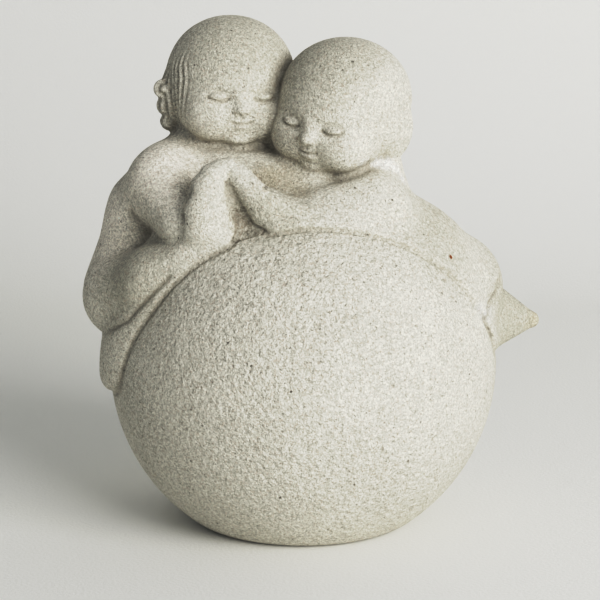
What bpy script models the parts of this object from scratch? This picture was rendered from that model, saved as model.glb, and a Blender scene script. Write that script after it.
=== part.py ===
"""Hugging children on a ball: a small garden or shelf ornament in cast stone.

Two toddlers lie over the top of one big ball. The left child sits with knees drawn up, the
right child lies on its front with one foot out behind. They hold hands in front and hug
behind, cheek to cheek. The whole ornament is a single casting with a flat round underside.

Blender units are metres, +Z is up and -Y is the front. The origin is the centre of the
underside. The children's forms are shares of the ball's radius, measured from its centre,
because they lie on it.
"""
import math

import bmesh
import bpy
import numpy as np
from mathutils import Euler, Matrix, Vector

# Driving sizes, in metres
BALL_RADIUS = 0.060
FOOT_RADIUS = 0.0335
RIM_STEP = 0.0013
CALF_STEP = 0.0009

# Fineness of the skin: even grids for the two rounds of shaping, then the finished count
COARSE_GRID = 0.035 * BALL_RADIUS
FINE_GRID = 0.018 * BALL_RADIUS
TRIANGLES = 9400

NAME = "hugging_children_on_ball"
STONE_COLOUR = (0.62, 0.60, 0.55, 1.0)
STONE_ROUGHNESS = 0.9

# How far the rough forms are swollen so that small gaps between them close
SWELL = 0.02

# Carving: the probe for the surface's slope, the least square of a slope, the longest move, how
# far a point slides to the middle of its neighbours, and the rounds of each pass
REACH = 0.002
LEAST_SLOPE = 0.2
LARGEST_STEP = 0.03
SLIDE = 0.5
COARSE_ROUNDS = 8
FINE_ROUNDS = 4
LAST_ROUNDS = 2

# Further away than any point of the statue, and more than no distance at all
FAR = 9.0
TINY = 1e-9

# Fineness of the rough forms: how often each kind of ball is divided, and a taper's sides
BALL_DIVISIONS = 5
HEAD_DIVISIONS = 4
JOINT_DIVISIONS = 3
TAPER_SIDES = 24

# Each form is a chain of round sections (x, y, z, radius), the softness of its own joints and
# the softness with which it grows out of the forms before it
LEFT_CHILD = [
    ("back", [
        (-0.62, 0.04, 0.95, 0.20), (-0.75, 0.06, 0.76, 0.24), (-0.885, 0.05, 0.36, 0.255)
    ], 0.10, 0.01),
    ("seat", [(-0.91, 0.19, 0.30, 0.225)], 0.01, 0.06),
    ("shoulders", [(-0.68, -0.07, 0.97, 0.165), (-0.32, -0.07, 0.95, 0.15)], 0.01, 0.12),
    ("far_flank", [
        (-0.60, 0.22, 0.90, 0.19), (-0.74, 0.25, 0.62, 0.20), (-0.86, 0.24, 0.36, 0.21)
    ], 0.08, 0.15),
    ("neck", [(-0.45, 0.12, 1.19, 0.19), (-0.53, 0.07, 0.96, 0.22)], 0.01, 0.06),
    ("upper_arm", [(-0.71, -0.17, 0.95, 0.165), (-0.58, -0.385, 0.785, 0.145)], 0.05, 0.10),
    ("forearm", [
        (-0.42, -0.515, 0.65, 0.14), (-0.455, -0.525, 0.76, 0.132), (-0.47, -0.52, 0.87, 0.115),
        (-0.46, -0.52, 0.98, 0.088)
    ], 0.01, 0.04),
    ("hand", [
        (-0.46, -0.52, 0.98, 0.088), (-0.435, -0.515, 1.035, 0.07), (-0.40, -0.51, 1.065, 0.057),
        (-0.36, -0.505, 1.08, 0.05)
    ], 0.01, 0.005),
    ("near_thigh", [
        (-0.90, -0.12, 0.37, 0.225), (-0.715, -0.37, 0.48, 0.185), (-0.53, -0.50, 0.615, 0.135)
    ], 0.08, 0.02),
    ("far_thigh", [(-0.91, 0.21, 0.31, 0.21), (-0.73, 0.59, 0.35, 0.16)], 0.08, 0.05),
    ("far_shin", [
        (-0.73, 0.59, 0.29, 0.12), (-0.89, 0.41, 0.01, 0.105), (-0.92, 0.22, -0.16, 0.065)
    ], 0.05, 0.05),
]
RIGHT_CHILD = [
    ("back", [
        (0.31, -0.20, 0.88, 0.165), (0.565, -0.04, 0.585, 0.215), (0.765, 0.13, 0.395, 0.26)
    ], 0.10, 0.03),
    ("far_flank", [
        (0.26, 0.03, 0.88, 0.15), (0.47, 0.18, 0.60, 0.185), (0.73, 0.33, 0.38, 0.21)
    ], 0.08, 0.15),
    ("near_flank", [
        (0.38, -0.28, 0.70, 0.18), (0.57, -0.20, 0.56, 0.21), (0.79, -0.02, 0.36, 0.205)
    ], 0.08, 0.15),
    ("neck", [(0.31, -0.07, 1.11, 0.165), (0.36, -0.13, 0.93, 0.165)], 0.01, 0.06),
    ("upper_arm", [(0.38, -0.33, 0.83, 0.16), (0.12, -0.46, 0.745, 0.15)], 0.08, 0.08),
    ("breast_fold", [(0.33, -0.33, 0.90, 0.13), (0.085, -0.42, 0.87, 0.085)], 0.01, 0.06),
    ("forearm", [
        (0.10, -0.47, 0.735, 0.15), (-0.04, -0.50, 0.775, 0.138), (-0.16, -0.52, 0.87, 0.102),
        (-0.24, -0.53, 0.955, 0.07)
    ], 0.02, 0.04),
    ("hand", [
        (-0.24, -0.53, 0.955, 0.07), (-0.305, -0.515, 1.035, 0.059), (-0.36, -0.505, 1.08, 0.05)
    ], 0.01, 0.005),
    ("near_foot", [(0.96, 0.20, 0.19, 0.205), (1.215, 0.28, 0.155, 0.045)], 0.01, 0.025),
    ("far_thigh", [(0.79, 0.33, 0.33, 0.21), (0.57, 0.70, 0.31, 0.16)], 0.08, 0.05),
    ("far_shin", [
        (0.57, 0.69, 0.26, 0.12), (0.79, 0.60, 0.00, 0.10), (0.90, 0.50, -0.12, 0.065)
    ], 0.05, 0.05),
]
SHARED = [
    ("left_child_hug", [
        (-0.50, 0.20, 0.97, 0.15), (-0.12, 0.36, 0.98, 0.125), (0.26, 0.20, 0.97, 0.085)
    ], 0.06, 0.03),
    ("right_child_hug", [
        (0.27, 0.10, 0.92, 0.15), (-0.12, 0.38, 0.82, 0.12), (-0.54, 0.30, 0.80, 0.085)
    ], 0.06, 0.03),
    ("right_child_far_hand", [(-0.54, 0.30, 0.80, 0.085), (-0.70, 0.27, 0.83, 0.055)], 0.01, 0.02),
    ("breasts", [(-0.40, -0.09, 0.91, 0.22), (0.09, -0.14, 0.87, 0.22)], 0.01, 0.05),
    ("chins_rest", [(-0.32, 0.04, 0.98, 0.17), (-0.02, 0.01, 0.99, 0.17)], 0.01, 0.04),
]
BODIES = LEFT_CHILD + RIGHT_CHILD + SHARED

# A head is its centre, its turn to the side, nod and tilt in degrees, and its count of side curls
LEFT_HEAD = ((-0.363, 0.099, 1.43), (11.2, -2.9, 1.2), 3)
RIGHT_HEAD = ((0.190, -0.106, 1.33), (-29.3, 2.2, 8.9), 0)
HEADS = [LEFT_HEAD, RIGHT_HEAD]
SKULL = ((0.0, 0.04, 0.055), (0.322, 0.355, 0.29))
JAW = ((0.0, -0.075, -0.125), (0.265, 0.225, 0.19))
SKULL_TO_JAW = 0.14

# The rest of a head, on both sides alike: a rounded lump's centre (ear to ear, back, up) and radii,
# and the softness with which it is added or carved out
ADD, CARVE = 1, -1
FEATURES = [
    ("cheek", ADD, (0.135, -0.19, -0.155), (0.115, 0.105, 0.11), 0.08),
    ("chin", ADD, (0.0, -0.225, -0.262), (0.05, 0.045, 0.035), 0.06),
    ("eye_socket", CARVE, (0.118, -0.352, -0.055), (0.075, 0.04, 0.035), 0.05),
    ("closed_lid", ADD, (0.116, -0.268, -0.06), (0.055, 0.042, 0.032), 0.015),
    ("nose_bridge", ADD, (0.0, -0.295, -0.085), (0.018, 0.024, 0.045), 0.05),
    ("nose_tip", ADD, (0.0, -0.325, -0.118), (0.032, 0.03, 0.026), 0.03),
    ("nose_wing", ADD, (0.027, -0.308, -0.124), (0.016, 0.02, 0.015), 0.015),
    ("lips", ADD, (0.0, -0.275, -0.19), (0.042, 0.035, 0.028), 0.035),
    ("lower_lip", ADD, (0.0, -0.296, -0.203), (0.026, 0.016, 0.009), 0.012),
    ("side_hair", ADD, (0.27, 0.06, -0.07), (0.09, 0.13, 0.15), 0.03),
]
FIRST_CURL = (0.35, 0.03, -0.03)
LAST_CURL = (0.312, 0.06, -0.20)
CURL_RADII = (0.042, 0.06, 0.042)
CURL_SOFTNESS = 0.015

# How softly the two heads touch, and how softly they sit on the bodies
CHEEK_SOFTNESS = 0.02
NECK_SOFTNESS = 0.03

# The bodies end at the front on a rim, a plane that leans back over the ball. It reaches further
# forward over the left child's calf
RIM_NORMAL = np.array(Vector((0.086, -0.916, -0.391)).normalized())
RIM_OFFSET = 0.232
RIM_OVERHANG = 0.02
RIM_ROUNDING = 0.05
ARM_ROUNDING = 0.14
CALF_START = -0.38
CALF_RUN = 0.35
CALF_REACH = 0.055

# The apron is the bodies' thin edge along the rim: where its two halves meet, its lowest height
# at the middle and its slope to the right, its depth behind the middle, and its width
APRON_MIDDLE = (-0.18, -0.33)
APRON_FOOT = -0.08
APRON_SLOPE = 0.09
APRON_DEPTH = 0.25
APRON_WIDTH = 0.22
APRON_WIDENING = 0.35
APRON_FOOT_SOFTNESS = 0.12
APRON_BACK_SOFTNESS = 0.15
APRON_SIDE_SOFTNESS = 0.08
APRON_GROWTH = 0.07
CALF_GROWTH = 0.02
CALF_SWELL = 0.6
CALF_BREADTH = 0.09

# The hollow behind the rim between the children's forearms
HOLLOW = [(-0.27, -0.612, 0.784, 0.085), (-0.315, -0.49, 0.92, 0.055)]
HOLLOW_JOINT = 0.03
HOLLOW_EDGE = 0.03

# The statue is carved to be seen from a little above: towards the viewer, and up as they see it
SIGHT_ANGLE = math.radians(12)
SIGHT = Vector((0, -math.cos(SIGHT_ANGLE), math.sin(SIGHT_ANGLE)))
SIGHT_UP = Vector((0, math.sin(SIGHT_ANGLE), math.cos(SIGHT_ANGLE)))


def length(v):
    return np.sqrt((v * v).sum(axis=-1))


def ellipsoid(p, centre, radii):
    """Distance to an ellipsoid, close to exact near its surface."""
    q = p - np.array(centre)
    r = np.array(radii)
    k0 = length(q / r)
    k1 = np.maximum(length(q / (r * r)), TINY)
    return k0 * (k0 - 1) / k1


def chain(p, sections, softness):
    """Distance to a limb: round sections joined by straight tapers, with soft joints."""
    s = np.array(sections)
    if len(s) == 1:
        return length(p - s[0, :3]) - s[0, 3]
    out = np.full(len(p), FAR)
    for a, b in zip(s, s[1:]):
        along = b[:3] - a[:3]
        t = np.clip((p - a[:3]) @ along / (along @ along), 0, 1)
        taper = length(p - a[:3] - t[:, None] * along) - (a[3] + (b[3] - a[3]) * t)
        out = soft_join(out, taper, softness)
    return out


def soft_join(a, b, softness):
    """The nearer of two distances, blended where they differ by less than the softness."""
    h = np.maximum(softness - np.abs(a - b), 0) / softness
    return np.minimum(a, b) - h * h * softness / 4


def soft_cut(a, b, softness):
    return -soft_join(-a, -b, softness)


def head_turn(angles):
    turn, nod, tilt = (math.radians(a) for a in angles)
    turned = Euler((0, 0, turn)).to_matrix() @ Euler((nod, 0, 0)).to_matrix()
    return np.array(turned @ Euler((0, tilt, 0)).to_matrix())


def in_head(p, centre, angles):
    """The places seen from a head: side, back and up from its centre."""
    return (p - np.array(centre)) @ head_turn(angles)


def head(p, centre, angles, curls):
    """Distance to a calm, round toddler's head that faces -Y in its own axes."""
    q = in_head(p, centre, angles)
    q[:, 0] = np.abs(q[:, 0])
    out = soft_join(ellipsoid(q, *SKULL), ellipsoid(q, *JAW), SKULL_TO_JAW)
    for _, way, place, radii, softness in FEATURES:
        out = way * soft_join(way * out, ellipsoid(q, place, radii), softness)
    for place in np.linspace(FIRST_CURL, LAST_CURL, curls):
        out = soft_join(out, ellipsoid(q, place, CURL_RADII), CURL_SOFTNESS)
    return out


def rim_side(p):
    """Below zero on the bodies' side of the rim."""
    calf = np.clip((CALF_START - p[:, 0]) / CALF_RUN, 0, 1)
    return p @ RIM_NORMAL - RIM_OFFSET - CALF_REACH * calf ** 2


def calf_rise(p):
    """The calf's height over the ball: a thin edge at the rim that swells up behind it."""
    behind = np.maximum(RIM_OVERHANG - rim_side(p), 0)
    return CALF_STEP / BALL_RADIUS + CALF_SWELL * CALF_BREADTH * np.tanh(behind / CALF_BREADTH)


def apron(p, rise, first_x, last_x):
    """The thin edge of the bodies that follows the ball behind the rim, narrower low down."""
    height = p @ np.array(SIGHT_UP)
    depth = p @ np.array(SIGHT)
    out = length(p) - (1 + rise)
    out = soft_cut(out, APRON_FOOT + APRON_SLOPE * p[:, 0] - height, APRON_FOOT_SOFTNESS)
    out = soft_cut(out, -depth - APRON_DEPTH, APRON_BACK_SOFTNESS)
    narrowed = -rim_side(p) - APRON_WIDTH - APRON_WIDENING * height
    for side in (narrowed, first_x - p[:, 0], p[:, 0] - last_x):
        out = soft_cut(out, side, APRON_SIDE_SOFTNESS)
    return out


def children(p):
    """Distance to both children, in shares of the ball's radius."""
    out = np.full(len(p), FAR)
    for _, sections, joints, growth in BODIES:
        out = soft_join(out, chain(p, sections, joints), growth)
    past_rim = rim_side(p) - RIM_OVERHANG
    out = soft_cut(out, past_rim, ARM_ROUNDING)
    out = soft_join(out, apron(p, RIM_STEP / BALL_RADIUS, APRON_MIDDLE[0], FAR), APRON_GROWTH)
    out = soft_join(out, apron(p, calf_rise(p), -FAR, APRON_MIDDLE[1]), CALF_GROWTH)
    out = soft_cut(out, past_rim, RIM_ROUNDING)
    heads = [head(p, centre, angles, curls) for centre, angles, curls in HEADS]
    return soft_join(out, soft_join(*heads, CHEEK_SOFTNESS), NECK_SOFTNESS)


def ball(p):
    """Distance to the ball, hollowed behind the rim between the forearms."""
    hollow = soft_cut(chain(p, HOLLOW, HOLLOW_JOINT), rim_side(p), HOLLOW_EDGE)
    return soft_cut(length(p) - 1, -hollow, HOLLOW_EDGE)


def statue(p):
    """Distance to the whole casting, above its underside, in shares of the ball's radius."""
    return np.minimum(children(p), ball(p))


def rough_forms():
    """All the forms as plain balls and cones in one mesh, a little swollen."""
    bm = bmesh.new()
    bmesh.ops.create_icosphere(bm, subdivisions=BALL_DIVISIONS, radius=1 + 2 * SWELL)
    for _, sections, _, _ in BODIES:
        for x, y, z, radius in sections:
            place = Matrix.Translation((x, y, z))
            bmesh.ops.create_icosphere(bm, subdivisions=JOINT_DIVISIONS, radius=radius + SWELL, matrix=place)
        for a, b in zip(sections, sections[1:]):
            add_taper(bm, Vector(a[:3]), Vector(b[:3]), a[3] + SWELL, b[3] + SWELL)
    for centre, angles, _ in HEADS:
        turn = Matrix.Translation(centre) @ Matrix(head_turn(angles)).to_4x4()
        for place, radii in (SKULL, JAW):
            size = Matrix.Diagonal([r + 2 * SWELL for r in radii] + [1])
            place = turn @ Matrix.Translation(place) @ size
            bmesh.ops.create_icosphere(bm, subdivisions=HEAD_DIVISIONS, radius=1, matrix=place)
    bmesh.ops.scale(bm, vec=(BALL_RADIUS,) * 3, verts=bm.verts)
    mesh = bpy.data.meshes.new("rough_forms")
    bm.to_mesh(mesh)
    bm.free()
    return mesh


def add_taper(bm, start, end, start_radius, end_radius):
    along = end - start
    place = Matrix.Translation((start + end) / 2) @ along.to_track_quat("Z", "Y").to_matrix().to_4x4()
    ends = {"radius1": start_radius, "radius2": end_radius, "depth": along.length}
    bmesh.ops.create_cone(bm, cap_ends=True, segments=TAPER_SIDES, matrix=place, **ends)


def even_skin(mesh, grid):
    """One closed skin over everything in the mesh, on an even grid."""
    skin = bpy.data.objects.new("skin", mesh)
    bpy.context.scene.collection.objects.link(skin)
    remesh = skin.modifiers.new("even_skin", "REMESH")
    remesh.mode = "VOXEL"
    remesh.voxel_size = grid
    seen = skin.evaluated_get(bpy.context.evaluated_depsgraph_get())
    result = bpy.data.meshes.new_from_object(seen)
    bpy.data.objects.remove(skin)
    return result


def shape(mesh, rounds):
    """Carve the skin: every point moves square to the surface until it lies on the statue."""
    flat = np.empty(3 * len(mesh.vertices), dtype=np.float32)
    mesh.vertices.foreach_get("co", flat)
    p = flat.reshape(-1, 3).astype(float) / BALL_RADIUS
    ends = np.empty(2 * len(mesh.edges), dtype=np.int32)
    mesh.edges.foreach_get("vertices", ends)
    ends = ends.reshape(-1, 2)
    for _ in range(rounds):
        p = even_out(p, ends, *on_surface(p))
    for _ in range(LAST_ROUNDS):
        p, _ = on_surface(p)
    mesh.vertices.foreach_set("co", (p * BALL_RADIUS).astype(np.float32).ravel())
    mesh.update()


def on_surface(p):
    """The points one step closer to the statue's surface, and the surface's normals there."""
    away = statue(p)
    slope = np.stack([statue(p + REACH * axis) - away for axis in np.eye(3)], axis=1) / REACH
    steep = np.maximum((slope * slope).sum(axis=1), LEAST_SLOPE)
    step = np.clip(away / steep, -LARGEST_STEP, LARGEST_STEP)
    return p - step[:, None] * slope, slope / np.sqrt(steep)[:, None]


def even_out(p, ends, moved, normals):
    """The moved points, each also slid along the surface towards the middle of its neighbours."""
    total = np.zeros_like(moved)
    count = np.zeros(len(moved))
    for here, there in (ends.T, ends.T[::-1]):
        for axis in range(3):
            total[:, axis] += np.bincount(here, moved[there, axis], len(moved))
        count += np.bincount(here, minlength=len(moved))
    slide = total / count[:, None] - moved
    slide -= (slide * normals).sum(axis=1)[:, None] * normals
    return moved + SLIDE * slide


def stone():
    material = bpy.data.materials.new("cast_stone")
    material.use_nodes = True
    surface = material.node_tree.nodes["Principled BSDF"]
    surface.inputs["Base Color"].default_value = STONE_COLOUR
    surface.inputs["Roughness"].default_value = STONE_ROUGHNESS
    surface.inputs["Metallic"].default_value = 0.0
    material.diffuse_color = STONE_COLOUR
    return material


def floor_cutter(collection):
    """The block that cuts the flat underside."""
    size = 4 * BALL_RADIUS
    bpy.ops.mesh.primitive_cube_add(size=size, location=(0, 0, -size / 2))
    cutter = bpy.context.object
    cutter.name = "underside_cutter"
    cutter.hide_render = True
    cutter.display_type = "WIRE"
    for owner in list(cutter.users_collection):
        owner.objects.unlink(cutter)
    collection.objects.link(cutter)
    return cutter


def build():
    for old in list(bpy.data.objects):
        bpy.data.objects.remove(old, do_unlink=True)
    parts = bpy.data.collections.new("hugging_children")
    cutters = bpy.data.collections.new("cutters")
    for collection in (parts, cutters):
        bpy.context.scene.collection.children.link(collection)

    skin = even_skin(rough_forms(), COARSE_GRID)
    shape(skin, COARSE_ROUNDS)
    skin = even_skin(skin, FINE_GRID)
    shape(skin, FINE_ROUNDS)
    skin.shade_smooth()
    skin.materials.clear()
    skin.materials.append(stone())

    statue_object = bpy.data.objects.new(NAME, skin)
    statue_object.location.z = math.sqrt(BALL_RADIUS ** 2 - FOOT_RADIUS ** 2)
    parts.objects.link(statue_object)
    thin_out = statue_object.modifiers.new("thin_out", "DECIMATE")
    thin_out.ratio = TRIANGLES / (2 * len(skin.polygons))
    underside = statue_object.modifiers.new("underside", "BOOLEAN")
    underside.operation = "DIFFERENCE"
    underside.solver = "EXACT"
    underside.object = floor_cutter(cutters)


build()
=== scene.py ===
"""Hugging children on a ball in pale cast stone: the carved skin, its stone and the studio.

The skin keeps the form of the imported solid. It is carved again on a finer grid, which is
finest at the faces, the hair and the hands. Blender units are metres, +Z is up, -Y is the front.
The children's forms are shares of the ball's radius, measured from its centre.
"""
import math

import bmesh
import bpy
import numpy as np
from mathutils import Euler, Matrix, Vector


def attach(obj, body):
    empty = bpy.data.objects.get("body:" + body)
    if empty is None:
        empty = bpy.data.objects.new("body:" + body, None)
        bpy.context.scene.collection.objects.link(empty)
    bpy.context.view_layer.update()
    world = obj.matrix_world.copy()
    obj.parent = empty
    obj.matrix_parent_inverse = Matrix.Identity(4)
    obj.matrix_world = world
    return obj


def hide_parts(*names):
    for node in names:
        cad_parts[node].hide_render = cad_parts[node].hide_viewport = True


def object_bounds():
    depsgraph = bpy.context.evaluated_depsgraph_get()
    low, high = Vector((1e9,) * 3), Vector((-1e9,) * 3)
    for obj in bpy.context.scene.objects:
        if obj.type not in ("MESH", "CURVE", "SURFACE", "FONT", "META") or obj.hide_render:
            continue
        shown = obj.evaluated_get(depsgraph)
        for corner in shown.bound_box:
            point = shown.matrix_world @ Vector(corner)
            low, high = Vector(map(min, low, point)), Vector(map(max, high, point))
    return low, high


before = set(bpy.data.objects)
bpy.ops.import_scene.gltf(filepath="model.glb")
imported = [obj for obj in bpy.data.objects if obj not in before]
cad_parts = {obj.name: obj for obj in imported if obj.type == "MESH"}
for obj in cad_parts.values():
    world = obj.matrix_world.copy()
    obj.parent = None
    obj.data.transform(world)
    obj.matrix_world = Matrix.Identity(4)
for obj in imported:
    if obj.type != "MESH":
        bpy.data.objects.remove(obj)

NODE = "hugging_children_on_ball"
CAD_LOW, CAD_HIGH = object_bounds()

# The ball and the flat foot that it stands on, as in the solid
BALL_RADIUS = 0.060
FOOT_RADIUS = 0.0335
BALL_HEIGHT = math.sqrt(BALL_RADIUS ** 2 - FOOT_RADIUS ** 2)
CENTRE = Vector((0, 0, BALL_HEIGHT))
FLOOR = -BALL_HEIGHT / BALL_RADIUS
FOOT_ROUNDING = 0.03
RIM_STEP = 0.0013
CALF_STEP = 0.0009

# The grid of the skin, and how the skin is carved: the probe for the surface's slope, the least
# square of a slope, the longest move, the slide to the middle of the neighbours, and the rounds
GRID = 0.0014
MERGE = 1e-6
REACH = 0.002
LEAST_SLOPE = 0.2
LARGEST_STEP = 0.03
SLIDE = 0.5
FIRST_ROUNDS = 3
FINER_ROUNDS = 2
LAST_ROUNDS = 2
FAR = 9.0
TINY = 1e-9

# Each form is a chain of round sections (x, y, z, radius), the softness of its own joints and
# the softness with which it grows out of the forms before it
LEFT_CHILD = [
    ("back", [
        (-0.62, 0.04, 0.95, 0.20), (-0.75, 0.06, 0.76, 0.24), (-0.885, 0.05, 0.36, 0.255)
    ], 0.10, 0.01),
    ("seat", [(-0.91, 0.19, 0.30, 0.225)], 0.01, 0.06),
    ("shoulders", [(-0.68, -0.07, 0.97, 0.165), (-0.32, -0.07, 0.95, 0.15)], 0.01, 0.12),
    ("far_flank", [
        (-0.60, 0.22, 0.90, 0.19), (-0.74, 0.25, 0.62, 0.20), (-0.86, 0.24, 0.36, 0.21)
    ], 0.08, 0.15),
    ("neck", [(-0.45, 0.12, 1.19, 0.19), (-0.53, 0.07, 0.96, 0.22)], 0.01, 0.06),
    ("upper_arm", [(-0.71, -0.17, 0.95, 0.165), (-0.58, -0.385, 0.785, 0.145)], 0.05, 0.10),
    ("forearm", [
        (-0.42, -0.515, 0.65, 0.14), (-0.455, -0.525, 0.76, 0.132), (-0.47, -0.52, 0.87, 0.115),
        (-0.46, -0.52, 0.98, 0.088)
    ], 0.01, 0.04),
    ("hand", [
        (-0.46, -0.52, 0.98, 0.088), (-0.435, -0.515, 1.035, 0.07), (-0.40, -0.51, 1.065, 0.057),
        (-0.36, -0.505, 1.08, 0.05)
    ], 0.01, 0.005),
    ("near_thigh", [
        (-0.90, -0.12, 0.37, 0.225), (-0.715, -0.37, 0.48, 0.185), (-0.53, -0.50, 0.615, 0.135)
    ], 0.08, 0.02),
    ("far_thigh", [(-0.91, 0.21, 0.31, 0.21), (-0.73, 0.59, 0.35, 0.16)], 0.08, 0.05),
    ("far_shin", [
        (-0.73, 0.59, 0.29, 0.12), (-0.89, 0.41, 0.01, 0.105), (-0.92, 0.22, -0.16, 0.065)
    ], 0.05, 0.05),
]
RIGHT_CHILD = [
    ("back", [
        (0.31, -0.20, 0.88, 0.165), (0.565, -0.04, 0.585, 0.215), (0.765, 0.13, 0.395, 0.26)
    ], 0.10, 0.03),
    ("far_flank", [
        (0.26, 0.03, 0.88, 0.15), (0.47, 0.18, 0.60, 0.185), (0.73, 0.33, 0.38, 0.21)
    ], 0.08, 0.15),
    ("near_flank", [
        (0.38, -0.28, 0.70, 0.18), (0.57, -0.20, 0.56, 0.21), (0.79, -0.02, 0.36, 0.205)
    ], 0.08, 0.15),
    ("neck", [(0.31, -0.07, 1.11, 0.165), (0.36, -0.13, 0.93, 0.165)], 0.01, 0.06),
    ("upper_arm", [(0.38, -0.33, 0.83, 0.16), (0.12, -0.46, 0.745, 0.15)], 0.08, 0.08),
    ("breast_fold", [(0.33, -0.33, 0.90, 0.13), (0.085, -0.42, 0.87, 0.085)], 0.01, 0.06),
    ("forearm", [
        (0.10, -0.47, 0.735, 0.15), (-0.04, -0.50, 0.775, 0.138), (-0.16, -0.52, 0.87, 0.102),
        (-0.24, -0.53, 0.955, 0.07)
    ], 0.02, 0.04),
    ("hand", [
        (-0.24, -0.53, 0.955, 0.07), (-0.305, -0.515, 1.035, 0.059), (-0.36, -0.505, 1.08, 0.05)
    ], 0.01, 0.005),
    ("near_foot", [(0.96, 0.20, 0.19, 0.205), (1.215, 0.28, 0.155, 0.045)], 0.01, 0.025),
    ("far_thigh", [(0.79, 0.33, 0.33, 0.21), (0.57, 0.70, 0.31, 0.16)], 0.08, 0.05),
    ("far_shin", [
        (0.57, 0.69, 0.26, 0.12), (0.79, 0.60, 0.00, 0.10), (0.90, 0.50, -0.12, 0.065)
    ], 0.05, 0.05),
]
SHARED = [
    ("left_child_hug", [
        (-0.50, 0.20, 0.97, 0.15), (-0.12, 0.36, 0.98, 0.125), (0.26, 0.20, 0.97, 0.085)
    ], 0.06, 0.03),
    ("right_child_hug", [
        (0.27, 0.10, 0.92, 0.15), (-0.12, 0.38, 0.82, 0.12), (-0.54, 0.30, 0.80, 0.085)
    ], 0.06, 0.03),
    ("right_child_far_hand", [(-0.54, 0.30, 0.80, 0.085), (-0.70, 0.27, 0.83, 0.055)], 0.01, 0.02),
    ("breasts", [(-0.40, -0.09, 0.91, 0.22), (0.09, -0.14, 0.87, 0.22)], 0.01, 0.05),
    ("chins_rest", [(-0.32, 0.04, 0.98, 0.17), (-0.02, 0.01, 0.99, 0.17)], 0.01, 0.04),
]
BODIES = LEFT_CHILD + RIGHT_CHILD + SHARED

# A head is its centre, its turn to the side, nod and tilt in degrees, and its count of side curls
LEFT_HEAD = ((-0.363, 0.099, 1.43), (11.2, -2.9, 1.2), 3)
RIGHT_HEAD = ((0.190, -0.106, 1.33), (-29.3, 2.2, 8.9), 0)
HEADS = [LEFT_HEAD, RIGHT_HEAD]
SKULL = ((0.0, 0.04, 0.055), (0.322, 0.355, 0.29))
JAW = ((0.0, -0.075, -0.125), (0.265, 0.225, 0.19))
SKULL_TO_JAW = 0.14

# The rest of a head, on both sides alike: a rounded lump's centre (ear to ear, back, up) and radii,
# and the softness with which it is added or carved out
ADD, CARVE = 1, -1
FEATURES = [
    ("cheek", ADD, (0.135, -0.19, -0.155), (0.115, 0.105, 0.11), 0.08),
    ("chin", ADD, (0.0, -0.225, -0.262), (0.05, 0.045, 0.035), 0.06),
    ("eye_socket", CARVE, (0.118, -0.352, -0.055), (0.075, 0.04, 0.035), 0.05),
    ("closed_lid", ADD, (0.116, -0.268, -0.06), (0.055, 0.042, 0.032), 0.015),
    ("nose_bridge", ADD, (0.0, -0.295, -0.085), (0.018, 0.024, 0.045), 0.05),
    ("nose_tip", ADD, (0.0, -0.325, -0.118), (0.032, 0.03, 0.026), 0.03),
    ("nose_wing", ADD, (0.027, -0.308, -0.124), (0.016, 0.02, 0.015), 0.015),
    ("lips", ADD, (0.0, -0.275, -0.19), (0.042, 0.035, 0.028), 0.035),
    ("lower_lip", ADD, (0.0, -0.296, -0.203), (0.026, 0.016, 0.009), 0.012),
    ("side_hair", ADD, (0.27, 0.06, -0.07), (0.09, 0.13, 0.15), 0.03),
]
FIRST_CURL = (0.35, 0.03, -0.03)
LAST_CURL = (0.312, 0.06, -0.20)
CURL_RADII = (0.042, 0.06, 0.042)
CURL_SOFTNESS = 0.015

# How softly the two heads touch, and how softly they sit on the bodies
CHEEK_SOFTNESS = 0.02
NECK_SOFTNESS = 0.03

# The bodies end at the front on a rim, a plane that leans back over the ball. It reaches further
# forward over the left child's calf
RIM_NORMAL = np.array(Vector((0.086, -0.916, -0.391)).normalized())
RIM_OFFSET = 0.232
RIM_OVERHANG = 0.02
RIM_ROUNDING = 0.02
ARM_ROUNDING = 0.14
CALF_START = -0.38
CALF_RUN = 0.35
CALF_REACH = 0.055

# The apron is the bodies' thin edge along the rim: where its two halves meet, its lowest height
# at the middle and its slope to the right, its depth behind the middle, and its width
APRON_MIDDLE = (-0.18, -0.33)
APRON_FOOT = -0.08
APRON_SLOPE = 0.09
APRON_DEPTH = 0.25
APRON_WIDTH = 0.22
APRON_WIDENING = 0.35
APRON_FOOT_SOFTNESS = 0.12
APRON_BACK_SOFTNESS = 0.15
APRON_SIDE_SOFTNESS = 0.08
APRON_GROWTH = 0.07
CALF_GROWTH = 0.02
CALF_SWELL = 0.6
CALF_BREADTH = 0.09

# The hollow behind the rim between the children's forearms
HOLLOW = [(-0.27, -0.612, 0.784, 0.085), (-0.315, -0.49, 0.92, 0.055)]
HOLLOW_JOINT = 0.03
HOLLOW_EDGE = 0.012

# The statue is carved to be seen from a little above: towards the viewer, and up as they see it
SIGHT_ANGLE = math.radians(12)
SIGHT = Vector((0, -math.cos(SIGHT_ANGLE), math.sin(SIGHT_ANGLE)))
SIGHT_UP = Vector((0, math.sin(SIGHT_ANGLE), math.cos(SIGHT_ANGLE)))

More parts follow.
